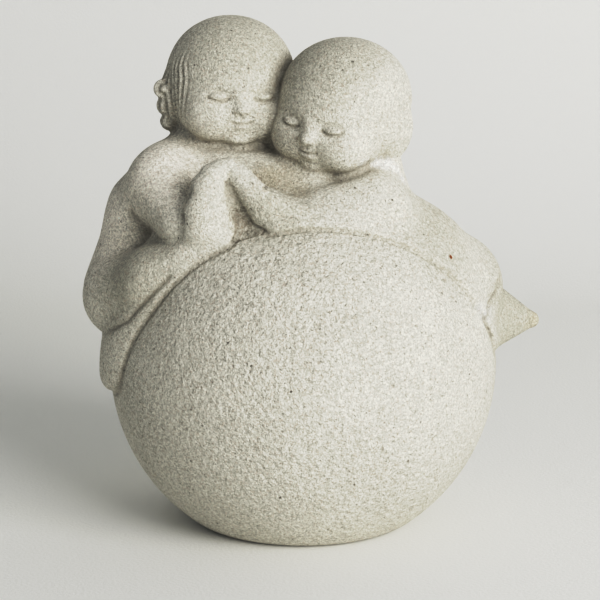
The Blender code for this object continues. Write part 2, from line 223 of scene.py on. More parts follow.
# Lines cut into the bodies: the places that a line passes, its half width and its depth
THIGH_OVER_CALF = [
    (-0.99, -0.30, 0.21), (-0.945, -0.408, 0.259), (-0.868, -0.490, 0.318), (-0.804, -0.530, 0.397),
    (-0.742, -0.560, 0.463), (-0.691, -0.572, 0.516), (-0.651, -0.577, 0.556)
]
BODY_LINES = [
    ("thigh_over_calf", THIGH_OVER_CALF, 0.012, 0.014),
    ("hip_over_foot", [
        (1.0, -0.02, 0.45), (0.991, -0.113, 0.391), (0.939, -0.235, 0.333), (0.913, -0.312, 0.288)
    ], 0.013, 0.02),
    ("foot_on_ball", [
        (0.913, -0.311, 0.267), (0.95, -0.265, 0.185), (0.992, -0.164, 0.098)
    ], 0.010, 0.012),
    ("pit_above_the_wrist", [(-0.184, -0.557, 0.994), (-0.156, -0.543, 0.982)], 0.009, 0.022),
    ("above_the_forearm", [
        (-0.156, -0.55, 0.982), (-0.117, -0.546, 0.964), (-0.02, -0.515, 0.927), (0.038, -0.53, 0.896)
    ], 0.009, 0.006),
    ("beside_the_forearm", [
        (-0.545, -0.55, 0.97), (-0.582, -0.54, 0.90), (-0.585, -0.55, 0.84)
    ], 0.018, 0.014),
    ("beside_the_upper_arm", [
        (-0.865, -0.187, 0.806), (-0.804, -0.21, 0.739), (-0.754, -0.213, 0.688)
    ], 0.02, 0.015),
]

# The seam where the bodies meet the ball: its half width, its depth, how much it fades to the
# right, and from where to where it fades
SEAM_WIDTH = 0.011
SEAM_DEPTH = 0.011
SEAM_FADE = 0.5
SEAM_FADES = (-0.4, 0.4)

# Lines cut into a face, seen from its front: side and height of the places that a line passes,
# its half width and its depth. The right half is the left half's mirror
FACE_LINES = [
    ("closed_eye", [
        (0.066, -0.064), (0.085, -0.074), (0.108, -0.079), (0.132, -0.077), (0.155, -0.068),
        (0.172, -0.056)
    ], 0.008, 0.013),
    ("lid_crease", [
        (0.070, -0.038), (0.092, -0.028), (0.118, -0.024), (0.145, -0.029), (0.165, -0.040)
    ], 0.010, 0.004),
    ("mouth", [(-0.01, -0.1915), (0.012, -0.1905), (0.030, -0.1885), (0.050, -0.183)], 0.007, 0.011),
    ("nostril", [(0.013, -0.143), (0.020, -0.142)], 0.006, 0.007),
    ("dimple_over_lip", [(0.0, -0.158), (0.0, -0.174)], 0.009, 0.004),
]
FACE_FRONT = -0.12

# Where the skin's finer grids reach. The last two are boxes in a head's own axes
HEAD_REACH = 0.43
HEAD_BACK = 0.22
HAND_LINE = [
    (-0.47, -0.55, 0.80), (-0.45, -0.55, 0.98), (-0.36, -0.53, 1.1), (-0.25, -0.55, 1.0),
    (-0.10, -0.56, 0.90)
]
HAND_REACH = 0.16
LINE_REACH = 0.04
RIM_REACH = 0.03
RIM_FOOT = -0.1
FACE_BOX = ((-0.20, -FAR, -0.25), (0.20, -0.17, 0.02))
HAIR_BOX = ((-FAR, -FAR, -0.24), (-0.20, 0.13, 0.16))

# The hair: how high the waves of each head's locks stand, how many go round a radian, how the
# locks sway on their way down, and where they fade in from the face and out at crown and neck
HAIR_HEIGHTS = (0.009, 0.004)
LOCKS = 52
LONG_WAVE, LONG_SWAY, LEAN = 24, 1.3, 2
SHORT_WAVE, SHORT_SWAY = 41, 0.8
HAIR_AT_FACE = (0.80, 1.15)
HAIR_AT_CROWN = (0.02, 0.19)
HAIR_AT_NECK = (-0.29, -0.16)

# The marks that the stone's colour reads: how far out of a fold its shelter is felt, the width
# over which the ball's stipple starts, and the depth of cut that counts in full
SHELTER_REACHES = (0.04, 0.10, 0.20)
BALL_EDGE = 0.02
DEEPEST_CUT = 0.012


def length(v):
    """The root of the sum of squares along the last axis."""
    return np.sqrt((v * v).sum(axis=-1))


def ellipsoid(p, centre, radii):
    """Distance to an ellipsoid, close to exact near its surface."""
    q = p - np.array(centre)
    r = np.array(radii)
    k0 = length(q / r)
    k1 = np.maximum(length(q / (r * r)), TINY)
    return k0 * (k0 - 1) / k1


def chain(p, sections, softness):
    """Distance to a limb: round sections joined by straight tapers, with soft joints."""
    s = np.array(sections)
    if len(s) == 1:
        return length(p - s[0, :3]) - s[0, 3]
    out = np.full(len(p), FAR)
    for a, b in zip(s, s[1:]):
        along = b[:3] - a[:3]
        t = np.clip((p - a[:3]) @ along / (along @ along), 0, 1)
        taper = length(p - a[:3] - t[:, None] * along) - (a[3] + (b[3] - a[3]) * t)
        out = soft_join(out, taper, softness)
    return out


def soft_join(a, b, softness):
    """The nearer of two distances, blended where they differ by less than the softness."""
    h = np.maximum(softness - np.abs(a - b), 0) / softness
    return np.minimum(a, b) - h * h * softness / 4


def soft_cut(a, b, softness):
    """The further of two distances, blended in the same way: what lies inside both."""
    return -soft_join(-a, -b, softness)


def head_turn(angles):
    """The matrix of a head's turn to the side, then its nod, then its tilt."""
    turn, nod, tilt = (math.radians(a) for a in angles)
    turned = Euler((0, 0, turn)).to_matrix() @ Euler((nod, 0, 0)).to_matrix()
    return np.array(turned @ Euler((0, tilt, 0)).to_matrix())


def in_head(p, centre, angles):
    """The places seen from a head: side, back and up from its centre."""
    return (p - np.array(centre)) @ head_turn(angles)


def head(p, centre, angles, curls):
    """Distance to a calm, round toddler's head that faces -Y in its own axes."""
    q = in_head(p, centre, angles)
    q[:, 0] = np.abs(q[:, 0])
    out = soft_join(ellipsoid(q, *SKULL), ellipsoid(q, *JAW), SKULL_TO_JAW)
    for _, way, place, radii, softness in FEATURES:
        out = way * soft_join(way * out, ellipsoid(q, place, radii), softness)
    for place in np.linspace(FIRST_CURL, LAST_CURL, curls):
        out = soft_join(out, ellipsoid(q, place, CURL_RADII), CURL_SOFTNESS)
    return out


def rim_side(p):
    """Below zero on the bodies' side of the rim."""
    calf = np.clip((CALF_START - p[:, 0]) / CALF_RUN, 0, 1)
    return p @ RIM_NORMAL - RIM_OFFSET - CALF_REACH * calf ** 2


def calf_rise(p):
    """The calf's height over the ball: a thin edge at the rim that swells up behind it."""
    behind = np.maximum(RIM_OVERHANG - rim_side(p), 0)
    return CALF_STEP / BALL_RADIUS + CALF_SWELL * CALF_BREADTH * np.tanh(behind / CALF_BREADTH)


def apron(p, rise, first_x, last_x):
    """The thin edge of the bodies that follows the ball behind the rim, narrower low down."""
    height = p @ np.array(SIGHT_UP)
    depth = p @ np.array(SIGHT)
    out = length(p) - (1 + rise)
    out = soft_cut(out, APRON_FOOT + APRON_SLOPE * p[:, 0] - height, APRON_FOOT_SOFTNESS)
    out = soft_cut(out, -depth - APRON_DEPTH, APRON_BACK_SOFTNESS)
    narrowed = -rim_side(p) - APRON_WIDTH - APRON_WIDENING * height
    for side in (narrowed, first_x - p[:, 0], p[:, 0] - last_x):
        out = soft_cut(out, side, APRON_SIDE_SOFTNESS)
    return out


def children(p):
    """Distance to both children, in shares of the ball's radius."""
    out = np.full(len(p), FAR)
    for _, sections, joints, growth in BODIES:
        out = soft_join(out, chain(p, sections, joints), growth)
    past_rim = rim_side(p) - RIM_OVERHANG
    out = soft_cut(out, past_rim, ARM_ROUNDING)
    out = soft_join(out, apron(p, RIM_STEP / BALL_RADIUS, APRON_MIDDLE[0], FAR), APRON_GROWTH)
    out = soft_join(out, apron(p, calf_rise(p), -FAR, APRON_MIDDLE[1]), CALF_GROWTH)
    out = soft_cut(out, past_rim, RIM_ROUNDING)
    heads = [head(p, centre, angles, curls) for centre, angles, curls in HEADS]
    return soft_join(out, soft_join(*heads, CHEEK_SOFTNESS), NECK_SOFTNESS)


def ball(p):
    """Distance to the ball, hollowed behind the rim between the forearms."""
    hollow = soft_cut(chain(p, HOLLOW, HOLLOW_JOINT), rim_side(p), HOLLOW_EDGE)
    return soft_cut(length(p) - 1, -hollow, HOLLOW_EDGE)


def statue(p):
    """Distance to the whole casting on its flat foot, in shares of the ball's radius."""
    out = np.minimum(children(p), ball(p))
    return soft_cut(out, FLOOR - p[:, 2], FOOT_ROUNDING)


def on_surface(p):
    """The points one step closer to the statue's surface, and the surface's normals there."""
    away = statue(p)
    slope = np.stack([statue(p + REACH * axis) - away for axis in np.eye(3)], axis=1) / REACH
    steep = np.maximum((slope * slope).sum(axis=1), LEAST_SLOPE)
    step = np.clip(away / steep, -LARGEST_STEP, LARGEST_STEP)
    return p - step[:, None] * slope, slope / np.sqrt(steep)[:, None]


def neighbour_mean(values, ends):
    """Each point's mean over the points that an edge joins it to."""
    total = np.zeros_like(values)
    count = np.zeros(len(values))
    for here, there in (ends.T, ends.T[::-1]):
        for axis in range(values.shape[1]):
            total[:, axis] += np.bincount(here, values[there, axis], len(values))
        count += np.bincount(here, minlength=len(values))
    return total / count[:, None]


def even_out(p, ends, moved, normals):
    """The moved points, each also slid along the surface towards the middle of its neighbours."""
    slide = neighbour_mean(moved, ends) - moved
    slide -= (slide * normals).sum(axis=1)[:, None] * normals
    return moved + SLIDE * slide


def places(mesh):
    """The mesh's points in shares of the ball's radius from its centre."""
    flat = np.empty(3 * len(mesh.vertices), dtype=np.float32)
    mesh.vertices.foreach_get("co", flat)
    return (flat.reshape(-1, 3).astype(float) - np.array(CENTRE)) / BALL_RADIUS


def put_places(mesh, p):
    """Writes the points back in metres, inside the solid's box."""
    low, high = np.array(CAD_LOW), np.array(CAD_HIGH)
    metres = np.clip(p * BALL_RADIUS + np.array(CENTRE), low, high)
    mesh.vertices.foreach_set("co", metres.astype(np.float32).ravel())
    mesh.update()


def edge_ends(mesh):
    """The numbers of the two points of every edge."""
    ends = np.empty(2 * len(mesh.edges), dtype=np.int32)
    mesh.edges.foreach_get("vertices", ends)
    return ends.reshape(-1, 2)


def carve(mesh, rounds):
    """Moves every point square to the surface until it lies on the statue, evenly spread."""
    p, ends = places(mesh), edge_ends(mesh)
    for _ in range(rounds):
        p = even_out(p, ends, *on_surface(p))
    for _ in range(LAST_ROUNDS):
        p, normals = on_surface(p)
    put_places(mesh, p)
    return p, normals


def even_skin(mesh):
    """One closed skin over the mesh on an even grid."""
    skin = bpy.data.objects.new("skin", mesh)
    bpy.context.scene.collection.objects.link(skin)
    remesh = skin.modifiers.new("even_skin", "REMESH")
    remesh.mode = "VOXEL"
    remesh.voxel_size = GRID
    seen = skin.evaluated_get(bpy.context.evaluated_depsgraph_get())
    result = bpy.data.meshes.new_from_object(seen)
    bpy.data.objects.remove(skin)
    return result


def solid_copy():
    """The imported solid's mesh, a copy with its loose triangles merged."""
    bm = bmesh.new()
    bm.from_mesh(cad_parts[NODE].data)
    bmesh.ops.remove_doubles(bm, verts=bm.verts, dist=MERGE)
    mesh = bpy.data.meshes.new("solid_copy")
    bm.to_mesh(mesh)
    bm.free()
    return mesh


def face_centres(mesh):
    """The middles of the mesh's faces in shares of the ball's radius."""
    flat = np.empty(3 * len(mesh.polygons), dtype=np.float32)
    mesh.polygons.foreach_get("center", flat)
    return (flat.reshape(-1, 3).astype(float) - np.array(CENTRE)) / BALL_RADIUS


def halve(mesh, chosen):
    """Halves the edges of the chosen faces."""
    bm = bmesh.new()
    bm.from_mesh(mesh)
    bm.faces.ensure_lookup_table()
    edges = {edge for index in np.flatnonzero(chosen) for edge in bm.faces[index].edges}
    bmesh.ops.subdivide_edges(bm, edges=list(edges), cuts=1, use_grid_fill=True)
    bm.to_mesh(mesh)
    bm.free()


def near_line(p, points):
    """Distance to the line that passes the points, in as many axes as the points have."""
    s = np.array(points)
    out = np.full(len(p), FAR)
    for a, b in zip(s, s[1:]):
        along = b - a
        t = np.clip((p - a) @ along / (along @ along), 0, 1)
        out = np.minimum(out, length(p - a - t[:, None] * along))
    return out


def fine_places(p):
    """True where the skin needs its second grid: heads, hands, arms, rim and the thigh's line."""
    near = np.zeros(len(p), dtype=bool)
    for centre, _, _ in HEADS:
        near |= (length(p - np.array(centre)) < HEAD_REACH) & (p[:, 1] < HEAD_BACK)
    near |= near_line(p, HAND_LINE) < HAND_REACH
    near |= near_line(p, THIGH_OVER_CALF) < LINE_REACH
    at_rim = np.abs(rim_side(p) - RIM_OVERHANG) < RIM_REACH
    return near | at_rim & (p @ np.array(SIGHT_UP) > RIM_FOOT) & (p @ np.array(SIGHT) > 0)


def in_box(q, box):
    """True for the points between the box's low and high corner."""
    low, high = np.array(box)
    return ((q > low) & (q < high)).all(axis=1)


def finest_places(p):
    """True at the faces and at the wavy hair beside them, where the skin needs its third grid."""
    near = np.zeros(len(p), dtype=bool)
    for centre, angles, _ in HEADS:
        near |= in_box(in_head(p, centre, angles), FACE_BOX)
    q = in_head(p, *LEFT_HEAD[:2])
    return near | in_box(q, HAIR_BOX) & (length(q) < HEAD_REACH)


def groove(distance, half_width, depth):
    """A rounded groove: the depth at the line, falling off as a bell curve."""
    return depth * np.exp(-(distance / half_width) ** 2)


def rise(value, low, high):
    """0 below low, 1 above high, and a smooth S between them."""
    t = np.clip((value - low) / (high - low), 0, 1)
    return t * t * (3 - 2 * t)


def hair(q, strength):
    """Height of wavy locks that hang round the sides and back of a head, none over the face.

    A sine of the angle round the head, swayed by two sines of the height.
    """
    around = np.arctan2(np.abs(q[:, 0]), -q[:, 1])
    long_sway = LONG_SWAY * np.sin(LONG_WAVE * q[:, 2] + LEAN * around)
    short_sway = SHORT_SWAY * np.sin(SHORT_WAVE * q[:, 2])
    lock = np.sin(LOCKS * around + long_sway + short_sway)
    under_crown = 1 - rise(q[:, 2], *HAIR_AT_CROWN)
    place = rise(around, *HAIR_AT_FACE) * under_crown * rise(q[:, 2], *HAIR_AT_NECK)
    return strength * place * lock


def relief(p):
    """How deep the fine lines are cut into the skin, below zero where the hair stands proud."""
    seam = groove(np.maximum(children(p), ball(p)), SEAM_WIDTH, SEAM_DEPTH)
    deep = seam * (1 - SEAM_FADE * rise(p[:, 0], *SEAM_FADES))
    for _, points, half_width, depth in BODY_LINES:
        deep += groove(near_line(p, points), half_width, depth)
    for (centre, angles, _), height in zip(HEADS, HAIR_HEIGHTS):
        q = in_head(p, centre, angles)
        on_head = length(q) < HEAD_REACH
        front = on_head & (q[:, 1] < FACE_FRONT)
        seen = np.stack([np.abs(q[:, 0]), q[:, 2]], axis=1)
        for _, points, half_width, depth in FACE_LINES:
            deep += np.where(front, groove(near_line(seen, points), half_width, depth), 0)
        deep -= np.where(on_head, hair(q, height), 0)
    return deep


def shelter(p, normals):
    """0 in the open to 1 in the deepest folds, from how soon the way out meets stone again."""
    total = np.zeros(len(p))
    for reach in SHELTER_REACHES:
        total += np.clip(1 - statue(p + reach * normals) / reach, 0, 1)
    return total / len(SHELTER_REACHES)


def add_value(mesh, name, values):
    """One number for each point, which the material reads by its name."""
    layer = mesh.attributes.new(name, "FLOAT", "POINT")
    layer.data.foreach_set("value", values.astype(np.float32))


def carved_skin():
    """The piece that stands for the solid: its form on three finer grids, with the relief cut in."""
    mesh = even_skin(solid_copy())
    carve(mesh, FIRST_ROUNDS)
    halve(mesh, fine_places(face_centres(mesh)))
    carve(mesh, FINER_ROUNDS)
    halve(mesh, finest_places(face_centres(mesh)))
    p, normals = carve(mesh, FINER_ROUNDS)
    cut = relief(p)
    put_places(mesh, p - cut[:, None] * normals)
    on_ball = rise(children(p) - length(p) + 1, 0.0, BALL_EDGE)
    add_value(mesh, "shelter", shelter(p, normals))
    add_value(mesh, "cut", np.clip(cut / DEEPEST_CUT, 0, 1))
    add_value(mesh, "ball", on_ball)
    mesh.materials.clear()
    mesh.shade_smooth()
    piece = bpy.data.objects.new("hugging_children_stone", mesh)
    bpy.context.scene.collection.objects.link(piece)
    print("TRIANGLES", sum(len(f.vertices) - 2 for f in mesh.polygons))
    return piece


def node(tree, kind, **settings):
    """A new node with its settings."""
    made = tree.nodes.new(kind)
    for name, value in settings.items():
        setattr(made, name, value)
    return made


def feed(tree, made, **sources):
    """Sets a node's inputs, by name or by place, to a socket or to a value."""
    for name, source in sources.items():
        by_place = name.startswith("in")
        socket = made.inputs[int(name[2:]) if by_place else name.replace("_", " ")]
        if isinstance(source, bpy.types.NodeSocket):
            tree.links.new(source, socket)
        else:
            socket.default_value = source
    return made


def maths(tree, operation, *values, clamp=False):
    """One step of arithmetic on sockets or numbers."""
    made = node(tree, "ShaderNodeMath", operation=operation, use_clamp=clamp)
    return feed(tree, made, **{"in%d" % i: value for i, value in enumerate(values)}).outputs[0]


def noise(tree, point, per_metre, detail=2.0, roughness=0.5):
    """Soft noise from 0 to 1, of so many waves per metre."""
    made = node(tree, "ShaderNodeTexNoise")
    feed(tree, made, Vector=point, Scale=per_metre, Detail=detail, Roughness=roughness)
    return made.outputs["Fac"]


def spread(tree, value, low, high, to_low=0.0, to_high=1.0):
    """The value's range from low to high, spread over another range."""
    made = node(tree, "ShaderNodeMapRange")
    return feed(tree, made, in0=value, in1=low, in2=high, in3=to_low, in4=to_high).outputs[0]


def mixed(tree, share, first, second):
    """The first colour at share 0, the second at share 1."""
    made = node(tree, "ShaderNodeMix", data_type="RGBA")
    return feed(tree, made, in0=share, in6=first, in7=second).outputs[2]


def bent(tree, point, per_metre, detail, reach):
    """The point moved by a noise, by up to the reach in metres along each axis."""
    wave = node(tree, "ShaderNodeTexNoise")
    feed(tree, wave, Vector=point, Scale=per_metre, Detail=detail)
    shift = node(tree, "ShaderNodeVectorMath", operation="SCALE")
    feed(tree, shift, in0=wave.outputs["Color"], Scale=reach)
    moved = node(tree, "ShaderNodeVectorMath", operation="ADD")
    return feed(tree, moved, in0=point, in1=shift.outputs[0]).outputs[0]


def cells(tree, point, per_metre):
    """Random cells: the distance to the nearest cell's middle, and random numbers for the cell."""
    made = feed(tree, node(tree, "ShaderNodeTexVoronoi"), Vector=point, Scale=per_metre)
    numbers = feed(tree, node(tree, "ShaderNodeSeparateColor"), in0=made.outputs["Color"])
    return made.outputs["Distance"], numbers.outputs


def effect(name, inputs, outputs):
    """A new shader node group with its sockets; gives the group and its two end nodes."""
    tree = bpy.data.node_groups.new(name, "ShaderNodeTree")
    for way, sockets in (("INPUT", inputs), ("OUTPUT", outputs)):
        for socket, kind in sockets:
            tree.interface.new_socket(socket, in_out=way, socket_type="NodeSocket" + kind)
    return tree, node(tree, "NodeGroupInput"), node(tree, "NodeGroupOutput")


def placed(tree, group, **sources):
    """An effect placed in a material; gives its outputs."""
    return feed(tree, node(tree, "ShaderNodeGroup", node_tree=group), **sources).outputs


# Each noise is its waves per metre, its detail and its roughness. Most of a noise's values lie
# in its middle. Tones are added to 1, and heights and depths are in millimetres
MIDDLE = (0.3, 0.7)
SAND_PER_METRE = 2300.0
SAND_TONES = (-0.29, 0.21)
GRIT = (2100.0, 2.0, 0.6)
GRIT_HEIGHT = 0.50
COARSE = (900.0, 4.0, 0.7)
COARSE_TONES = (-0.15, 0.10)
COARSE_HEIGHT = 0.62
CLOUD = (60.0, 3.0, 0.55)
CLOUD_TONES = (-0.04, 0.04)
WARM_ABOVE = 0.86
WARM_SHARE = 0.35


def grain_effect():
    """Sand grains of the cast stone: their tone around 1, their warmth and their height.

    The tone is one random step for each grain plus two noises, and some of the grains are warm.
    """
    tree, given, out = effect(
        "stone_grain", [("Point", "Vector")],
        [("Tone", "Float"), ("Warmth", "Float"), ("Height", "Float")])
    point = given.outputs["Point"]
    _, grain = cells(tree, point, SAND_PER_METRE)
    coarse = noise(tree, point, *COARSE)
    tone = maths(
        tree, "ADD", spread(tree, grain[0], 0.0, 1.0, *SAND_TONES),
        spread(tree, coarse, *MIDDLE, *COARSE_TONES))
    tone = maths(tree, "ADD", tone, spread(tree, noise(tree, point, *CLOUD), *MIDDLE, *CLOUD_TONES))
    height = maths(
        tree, "ADD", maths(tree, "MULTIPLY", noise(tree, point, *GRIT), GRIT_HEIGHT),
        maths(tree, "MULTIPLY", coarse, COARSE_HEIGHT))
    warmth = maths(tree, "MULTIPLY", maths(tree, "GREATER_THAN", grain[1], WARM_ABOVE), WARM_SHARE)
    feed(tree, out, Tone=maths(tree, "ADD", tone, 1.0), Warmth=warmth, Height=height)
    return tree


# Single dark grains: how they are bent out of round, how far their sizes go, and their soft edge
SPECK_BEND = (2600.0, 1.0, 0.0009)
SPECK_SIZES = (0.3, 1.0)
SPECK_EDGE = 0.5


def speck_effect():
    """Single dark grains: a mask of uneven specks in a share of the cells.

    A speck's mask is the root of 1 less the distance from its middle over its size.
    """
    tree, given, out = effect(
        "dark_specks",
        [("Point", "Vector"), ("Per metre", "Float"), ("Share", "Float"), ("Size", "Float")],
        [("Mask", "Float")])
    point = bent(tree, given.outputs["Point"], *SPECK_BEND)
    away, parts = cells(tree, point, given.outputs["Per metre"])
    chosen = maths(tree, "LESS_THAN", parts[0], given.outputs["Share"])
    sizes = spread(tree, parts[1], 0.0, 1.0, *SPECK_SIZES)
    size = maths(tree, "MULTIPLY", given.outputs["Size"], sizes)
    inside = maths(tree, "SUBTRACT", 1.0, maths(tree, "DIVIDE", away, size), clamp=True)
    feed(tree, out, Mask=maths(tree, "MULTIPLY", chosen, maths(tree, "POWER", inside, SPECK_EDGE)))
    return tree


# The ball's stipple: how its lumps are bent, their number and round, its broad waves and its pits
STIPPLE_BEND = (700.0, 2.0, 0.0012)
LUMPS_PER_METRE = 620.0
LUMP_ROUND = 0.9
LUMP_HEIGHT = 0.45
BROAD = (380.0, 3.0, 0.6)
BROAD_HEIGHT = 0.75
PITTED = (950.0, 3.0, 0.65)
PIT_LEVELS = (0.36, 0.27)
PIT_DEPTH = 0.45


def stipple_effect():
    """The ball's rough stipple: rounded lumps on broad waves, with small pits between them.

    A lump falls off evenly from its middle. A pit is where a fine noise is lowest.
    """
    tree, given, out = effect(
        "ball_stipple", [("Point", "Vector")], [("Height", "Float"), ("Pits", "Float")])
    point = given.outputs["Point"]
    away, _ = cells(tree, bent(tree, point, *STIPPLE_BEND), LUMPS_PER_METRE)
    lumps = maths(tree, "SUBTRACT", LUMP_ROUND, away, clamp=True)
    pits = spread(tree, noise(tree, point, *PITTED), *PIT_LEVELS)
    height = maths(
        tree, "ADD", maths(tree, "MULTIPLY", lumps, LUMP_HEIGHT),
        maths(tree, "MULTIPLY", noise(tree, point, *BROAD), BROAD_HEIGHT))
    height = maths(tree, "SUBTRACT", height, maths(tree, "MULTIPLY", pits, PIT_DEPTH))
    feed(tree, out, Height=height, Pits=pits)
    return tree


# A patch's edge, for stains and for painted light and shade: the detail and roughness of its noise,
# how ragged it is, and where it fades
STAIN_NOISE = (3.0, 0.6)
STAIN_RAGGED = (-0.35, 0.35)
STAIN_FADE = (1.0, 0.35)


def stain_and_painted_light_effect():
    """A soft ragged patch of stain or painted light and shade: 1 at its middle to 0 outside its reach.

    It is the distance over the reach, plus a noise, faded out from the middle to the edge.
    """
    tree, given, out = effect(
        "stain",
        [("Point", "Vector"), ("Middle", "Vector"), ("Reach", "Float"), ("Per metre", "Float")],
        [("Mask", "Float")])
    point = given.outputs["Point"]
    away = node(tree, "ShaderNodeVectorMath", operation="DISTANCE")
    feed(tree, away, in0=point, in1=given.outputs["Middle"])
    reached = maths(tree, "DIVIDE", away.outputs["Value"], given.outputs["Reach"])
    wave = noise(tree, point, given.outputs["Per metre"], *STAIN_NOISE)
    ragged = maths(tree, "ADD", reached, spread(tree, wave, *MIDDLE, *STAIN_RAGGED))
    feed(tree, out, Mask=spread(tree, ragged, *STAIN_FADE))
    return tree


STONE = (0.735, 0.715, 0.63, 1.0)
# Dark brown: soil, and painted shade in folds, cut lines, pits and the hollow between the forearms
SOIL_AND_SHADE = (0.26, 0.235, 0.19, 1.0)
# Near black: single dark grains, and painted shade in the pit above the wrist
DARK_GRAIN_AND_PIT_SHADE = (0.035, 0.032, 0.028, 1.0)
WARM_GRAIN = (0.50, 0.40, 0.32, 1.0)
LIME = (0.86, 0.86, 0.84, 1.0)
# Darker beige: dust, and painted shade
DUST_AND_SHADE = (0.45, 0.405, 0.31, 1.0)
# Greyish: grime, and painted shade on brightly lit places
GRIME_AND_SHADE = (0.40, 0.39, 0.32, 1.0)
# Painted light: a paler stone colour
PAINTED_LIGHT = (1.0, 0.95, 0.84, 1.0)
RUST = (0.22, 0.075, 0.02, 1.0)
YELLOW = (0.62, 0.52, 0.33, 1.0)

# Stains and patches of painted light and shade, in this order: the place in shares of the ball's
# radius, the reach in metres, the colour, the strength, and how finely the edge is ragged, in waves
# per metre
STAINS_AND_PAINTED_LIGHT = [
    ((0.293, -0.371, 1.085), 0.0022, LIME, 0.50, 900.0),
    ((0.366, -0.264, 1.066), 0.0032, LIME, 0.65, 1100.0),
    ((0.427, -0.237, 1.062), 0.0030, LIME, 0.70, 1100.0),
    ((0.468, -0.213, 1.033), 0.0022, LIME, 0.70, 1100.0),
    ((0.499, -0.213, 0.982), 0.0022, LIME, 0.70, 1100.0),
    ((0.939, -0.235, 0.333), 0.0032, LIME, 0.50, 900.0),
    ((0.915, -0.312, 0.300), 0.0032, LIME, 0.55, 900.0),
    ((0.879, -0.340, 0.346), 0.0028, LIME, 0.50, 900.0),
    # Dust with painted shade on the chests below the chins
    ((-0.199, -0.302, 1.006), 0.0065, DUST_AND_SHADE, 0.65, 1500.0),
    ((-0.090, -0.320, 0.998), 0.0085, DUST_AND_SHADE, 0.55, 1500.0),
    ((-0.020, -0.420, 0.950), 0.0060, DUST_AND_SHADE, 0.50, 1500.0),
    # Painted light: paler stone on the left child's shoulder and back
    ((-0.681, -0.338, 1.021), 0.0170, PAINTED_LIGHT, 0.60, 500.0),
    ((-0.753, -0.285, 1.063), 0.0140, PAINTED_LIGHT, 0.50, 500.0),
    ((-0.975, -0.108, 0.701), 0.0200, PAINTED_LIGHT, 0.75, 500.0),
    ((-0.587, -0.233, 1.076), 0.0180, PAINTED_LIGHT, 0.35, 500.0),
    # Grime with painted shade on the right child's near foot
    ((1.100, 0.100, 0.220), 0.0280, GRIME_AND_SHADE, 0.60, 1200.0),
    ((1.244, 0.245, 0.153), 0.0055, YELLOW, 0.25, 500.0),
    # Grime with painted shade on the right child's back, the heads' tops, the left child's thigh and
    # the right child's forearm
    ((0.682, -0.354, 0.714), 0.0200, GRIME_AND_SHADE, 0.40, 900.0),
    ((-0.300, -0.100, 1.700), 0.0240, GRIME_AND_SHADE, 0.45, 1200.0),
    ((0.150, -0.300, 1.620), 0.0220, GRIME_AND_SHADE, 0.42, 1200.0),
    ((-0.800, -0.420, 0.520), 0.0220, GRIME_AND_SHADE, 0.50, 1200.0),
    ((-0.136, -0.606, 0.866), 0.0140, GRIME_AND_SHADE, 0.45, 900.0),
    # Painted shade with some soil in the hollow between the two forearms
    ((-0.313, -0.496, 0.808), 0.0062, SOIL_AND_SHADE, 0.75, 900.0),
    ((-0.345, -0.384, 0.909), 0.0050, SOIL_AND_SHADE, 0.65, 900.0),
    ((0.731, -0.387, 0.619), 0.0008, RUST, 1.00, 100.0),
    # Painted shade: near black in the pit above the wrist
    ((-0.175, -0.546, 0.993), 0.0012, DARK_GRAIN_AND_PIT_SHADE, 1.00, 900.0),
    ((-0.156, -0.543, 0.982), 0.0008, DARK_GRAIN_AND_PIT_SHADE, 1.00, 900.0),
]

# Dark grains, large to fine: cells per metre, the share of cells that have one, its size as a
# share of a cell, and how dark it is
DARK_GRAINS = [(270.0, 0.42, 0.14, 1.0), (620.0, 0.42, 0.25, 0.65), (1150.0, 0.34, 0.36, 0.42)]
DARK_COVER = 0.95
DARK_DEPTH = 0.25

# Soil and painted shade: from how much shelter to how much, and its share at both; how clouds
# vary it; and its share in the cut lines and in the pits. Folds and cut lines get painted shade
# with some soil, and the pits get painted shade
SOIL_AND_SHADE_BY_SHELTER = (0.42, 0.95, 0.0, 0.62)
SOIL_AND_SHADE_CLOUD = (60.0, 3.0, 0.6)
SOIL_AND_SHADE_CLOUDS = (0.6, 1.1)
SOIL_AND_SHADE_IN_CUTS = 0.55
SHADE_IN_PITS = 0.28
MILLIMETRE = 0.001
STONE_ROUGHNESS = 0.92
STONE_GLOSS = 0.25


